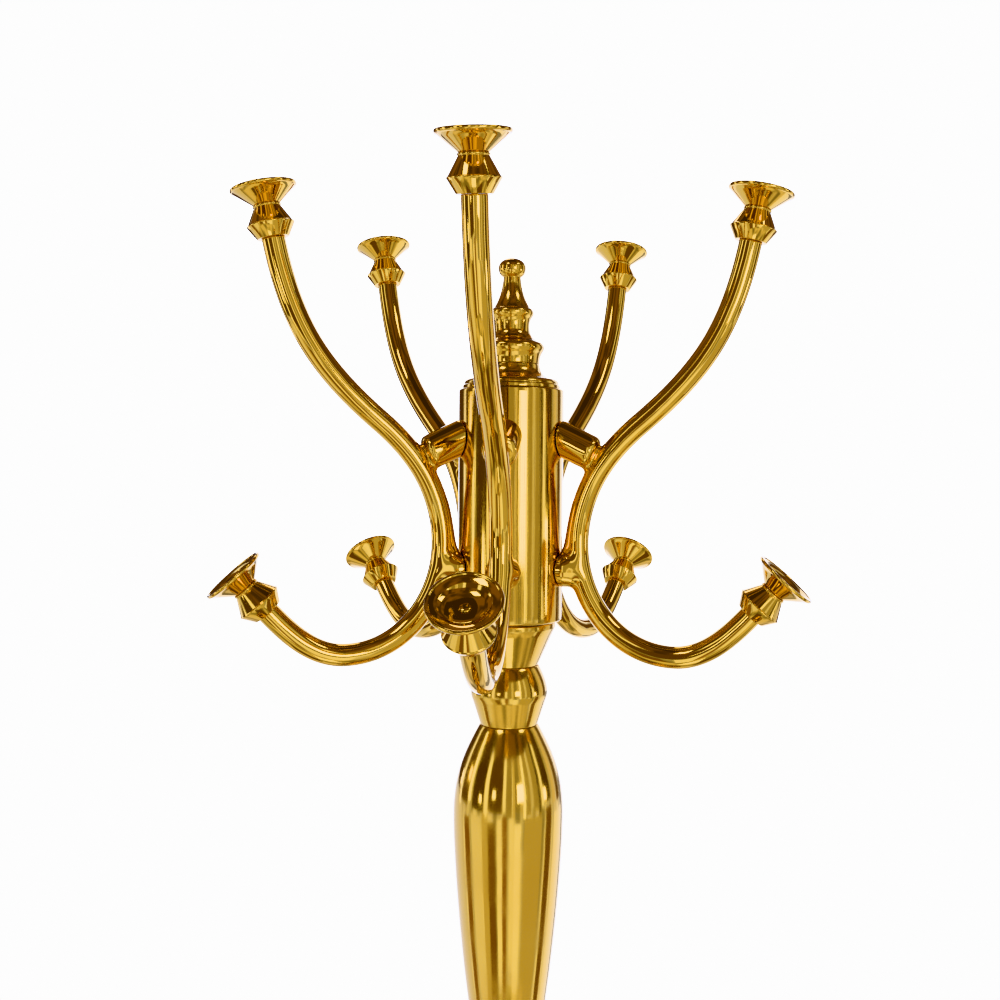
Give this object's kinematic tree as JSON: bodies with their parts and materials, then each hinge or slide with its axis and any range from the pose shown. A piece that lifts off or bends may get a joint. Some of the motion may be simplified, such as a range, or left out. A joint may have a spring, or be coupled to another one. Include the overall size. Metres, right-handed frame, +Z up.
{
  "type": "tabletop candelabra",
  "caption": "Polished gold candelabra: baluster column on a weighted foot, turning hub, and curved double brackets with tilted dishes on double-cone collars.",
  "frame": {"origin": "middle of the foot's underside, on the axis of the column, at the surface it stands on", "axes": "+Z up along the column; bracket_4, the front one, points roughly along -Y, towards the viewer"},
  "size_m": [0.409, 0.3953, 0.7865],
  "materials": {
    "gold": "mirror-polished gold plating over cast and spun aluminium",
    "steel": "zinc-plated steel",
    "iron": "rough black cast iron",
    "nylon": "plain black nylon",
    "felt": "dark felt"
  },
  "bodies": {
    "column": {"base_pad": "felt", "base_weight": "iron", "base_cover": "gold", "base_nut": "steel", "centre_rod": "steel", "base_ring": "gold", "base_knop": "gold", "baluster_vase": "gold", "neck_knop": "gold", "hub_seat": "gold", "bearing_washer": "nylon", "hub_nut": "steel"},
    "head": {"hub_sleeve": "gold", "hub_cap": "gold", "finial": "gold", "bracket_1": "gold", "bracket_2": "gold", "bracket_3": "gold", "bracket_4": "gold", "bracket_5": "gold", "dish_upper_1": "gold", "collar_upper_1": "gold", "dish_screw_upper_1": "gold", "bracket_screw_upper_1": "steel", "dish_lower_1": "gold", "collar_lower_1": "gold", "dish_screw_lower_1": "gold", "bracket_screw_lower_1": "steel", "dish_upper_2": "gold", "collar_upper_2": "gold", "dish_screw_upper_2": "gold", "bracket_screw_upper_2": "steel", "dish_lower_2": "gold", "collar_lower_2": "gold", "dish_screw_lower_2": "gold", "bracket_screw_lower_2": "steel", "dish_upper_3": "gold", "collar_upper_3": "gold", "dish_screw_upper_3": "gold", "bracket_screw_upper_3": "steel", "dish_lower_3": "gold", "collar_lower_3": "gold", "dish_screw_lower_3": "gold", "bracket_screw_lower_3": "steel", "dish_upper_4": "gold", "collar_upper_4": "gold", "dish_screw_upper_4": "gold", "bracket_screw_upper_4": "steel", "dish_lower_4": "gold", "collar_lower_4": "gold", "dish_screw_lower_4": "gold", "bracket_screw_lower_4": "steel", "dish_upper_5": "gold", "collar_upper_5": "gold", "dish_screw_upper_5": "gold", "bracket_screw_upper_5": "steel", "dish_lower_5": "gold", "collar_lower_5": "gold", "dish_screw_lower_5": "gold", "bracket_screw_lower_5": "steel"}
  },
  "joints": [
    {"name": "head_turn", "type": "hinge", "parent": "column", "child": "head", "pos_m": [0, 0, 0.483], "axis": [0, 0, 1], "continuous": true}
  ]
}
